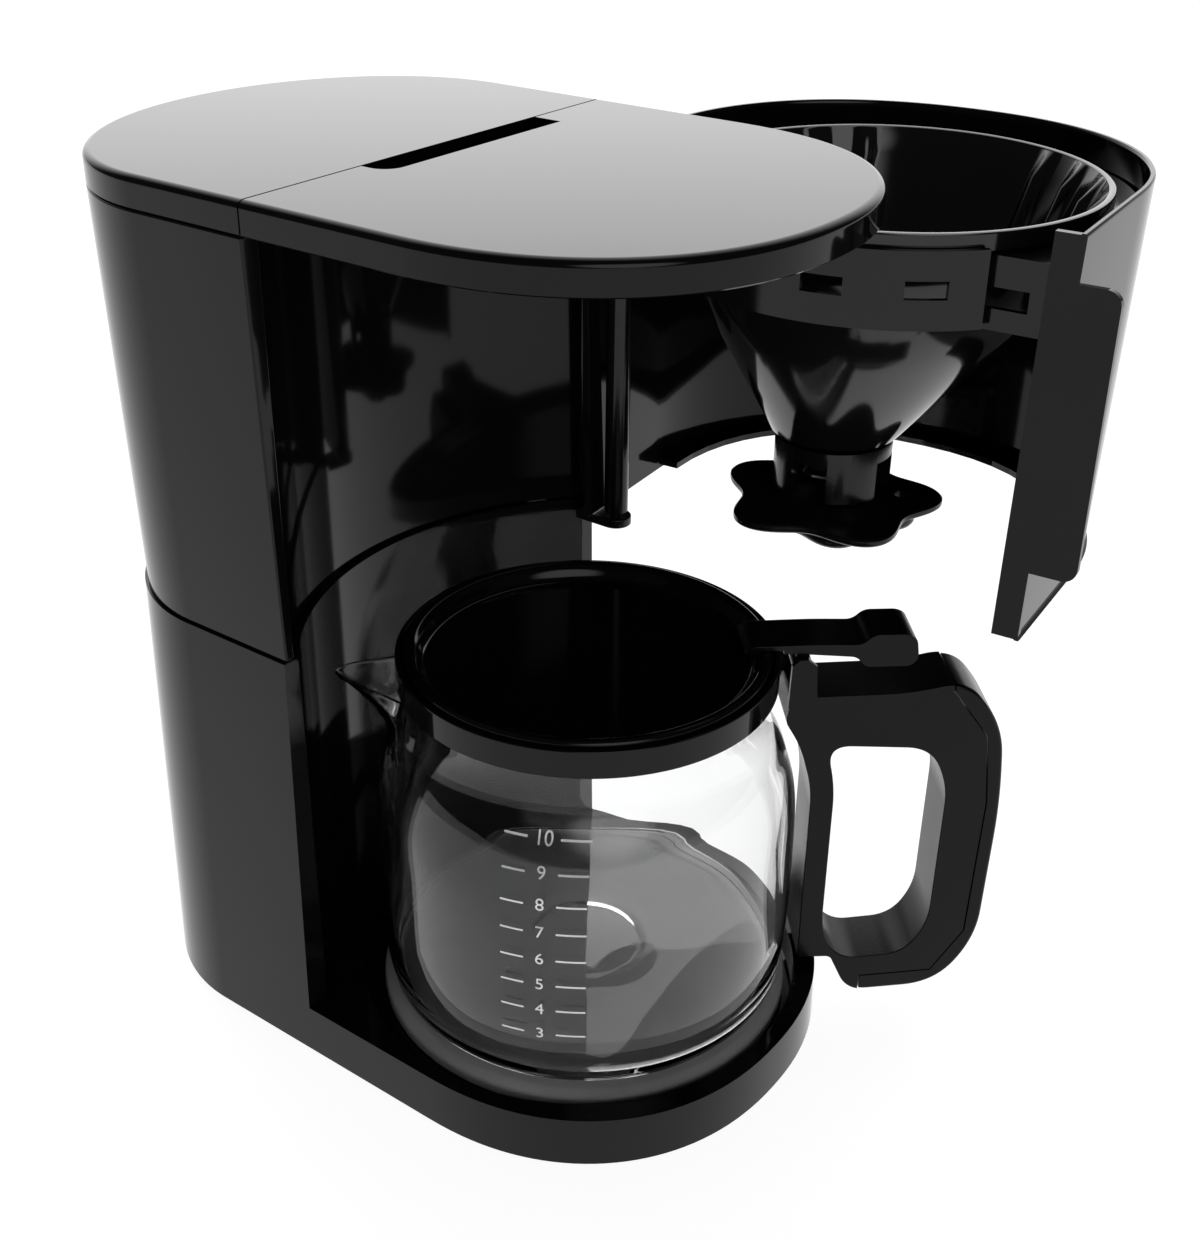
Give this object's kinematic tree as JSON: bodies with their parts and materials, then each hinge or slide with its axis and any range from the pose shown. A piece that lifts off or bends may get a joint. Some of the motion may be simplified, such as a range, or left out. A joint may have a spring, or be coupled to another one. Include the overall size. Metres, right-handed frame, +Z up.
{
  "type": "drip coffee maker",
  "caption": "Drip coffee maker with rounded ends, a swing-out filter door, a lidded glass jug on a hot plate and a rear water tank under a hinged lid.",
  "frame": {"origin": "centre of the bounding box at floor level, with the door open and the jug handle to the front right", "axes": "+Z up, the front with the jug faces -Y, +X to the right of a person facing the front"},
  "size_m": [0.3062, 0.3166, 0.32],
  "materials": {
    "gloss_black": "piano-black gloss",
    "satin_black": "satin",
    "inner_black": "plain moulded",
    "grey_plastic": "matt",
    "clear_grey": "translucent smoke",
    "glass": "clear",
    "coated_steel": "non-stick coating on steel",
    "steel": "brushed",
    "aluminium": "drawn",
    "silicone": "translucent silicone",
    "rubber": "matt"
  },
  "bodies": {
    "machine": {"lower_housing": "gloss_black", "upper_housing": "gloss_black", "water_tank": "satin_black", "tank_filter_screen": "grey_plastic", "top_cover": "gloss_black", "cover_frame": "inner_black", "lid_hinge_block": "inner_black", "bottom_plate": "satin_black", "case_screw_1": "steel", "case_screw_2": "steel", "case_screw_3": "steel", "case_screw_4": "steel", "foot_1": "rubber", "foot_2": "rubber", "foot_3": "rubber", "foot_4": "rubber", "hot_plate": "coated_steel", "heater_element": "aluminium", "thermostat": "aluminium", "thermal_fuse": "steel", "check_valve": "grey_plastic", "feed_hose": "silicone", "riser_hose": "silicone", "shower_head": "grey_plastic", "switch_bezel": "satin_black", "cord_gland": "rubber", "terminal_block": "grey_plastic", "lower_hinge_bracket": "satin_black", "upper_hinge_bracket": "satin_black"},
    "tank_lid": {"tank_lid": "gloss_black"},
    "door": {"door_shell": "gloss_black", "door_hinge_post": "inner_black", "door_collar": "satin_black", "door_lower_rib": "inner_black"},
    "filter": {"filter_funnel": "satin_black", "valve_yoke": "satin_black", "valve_spring": "steel"},
    "drip_stop": {"drip_stop_plate": "satin_black", "drip_stop_cover": "satin_black", "drip_nozzle_1": "clear_grey", "drip_nozzle_2": "clear_grey", "valve_seal": "silicone"},
    "jug": {"jug_glass": "glass", "jug_handle": "satin_black", "jug_handle_cover": "satin_black", "jug_collar": "gloss_black", "lid_hinge_pin": "steel"},
    "jug_lid": {"jug_lid": "gloss_black", "jug_lid_lever": "satin_black"},
    "switch": {"rocker_switch": "gloss_black"}
  },
  "joints": [
    {"name": "tank_lid_hinge", "type": "hinge", "parent": "machine", "child": "tank_lid", "pos_m": [-0.06569, 0.15168, 0.309], "axis": [-1, 0, 0], "range_deg": [0, 95]},
    {"name": "door_hinge", "type": "hinge", "parent": "machine", "child": "door", "pos_m": [0.01331, 0.02428, 0.236], "axis": [0, 0, 1], "range_deg": [-95, 12]},
    {"name": "filter_lift", "type": "slide", "parent": "door", "child": "filter", "axis": [0, 0, 1], "range_m": [0, 0.006]},
    {"name": "drip_stop_push", "type": "slide", "parent": "filter", "child": "drip_stop", "axis": [0, 0, 1], "range_m": [0, 0.003], "stiffness_N_per_m": 150, "springref_m": -0.01},
    {"name": "jug_slide", "type": "slide", "parent": "machine", "child": "jug", "axis": [0, -1, 0], "range_m": [0, 0.16]},
    {"name": "jug_lid_hinge", "type": "hinge", "parent": "jug", "child": "jug_lid", "pos_m": [-0.01844, -0.07712, 0.1532], "axis": [0.766, 0.6428, 0], "range_deg": [0, 10]},
    {"name": "switch_rock", "type": "hinge", "parent": "machine", "child": "switch", "pos_m": [0.01847, 0.09118, 0.07], "axis": [0, 0, 1], "range_deg": [-9, 0]}
  ]
}
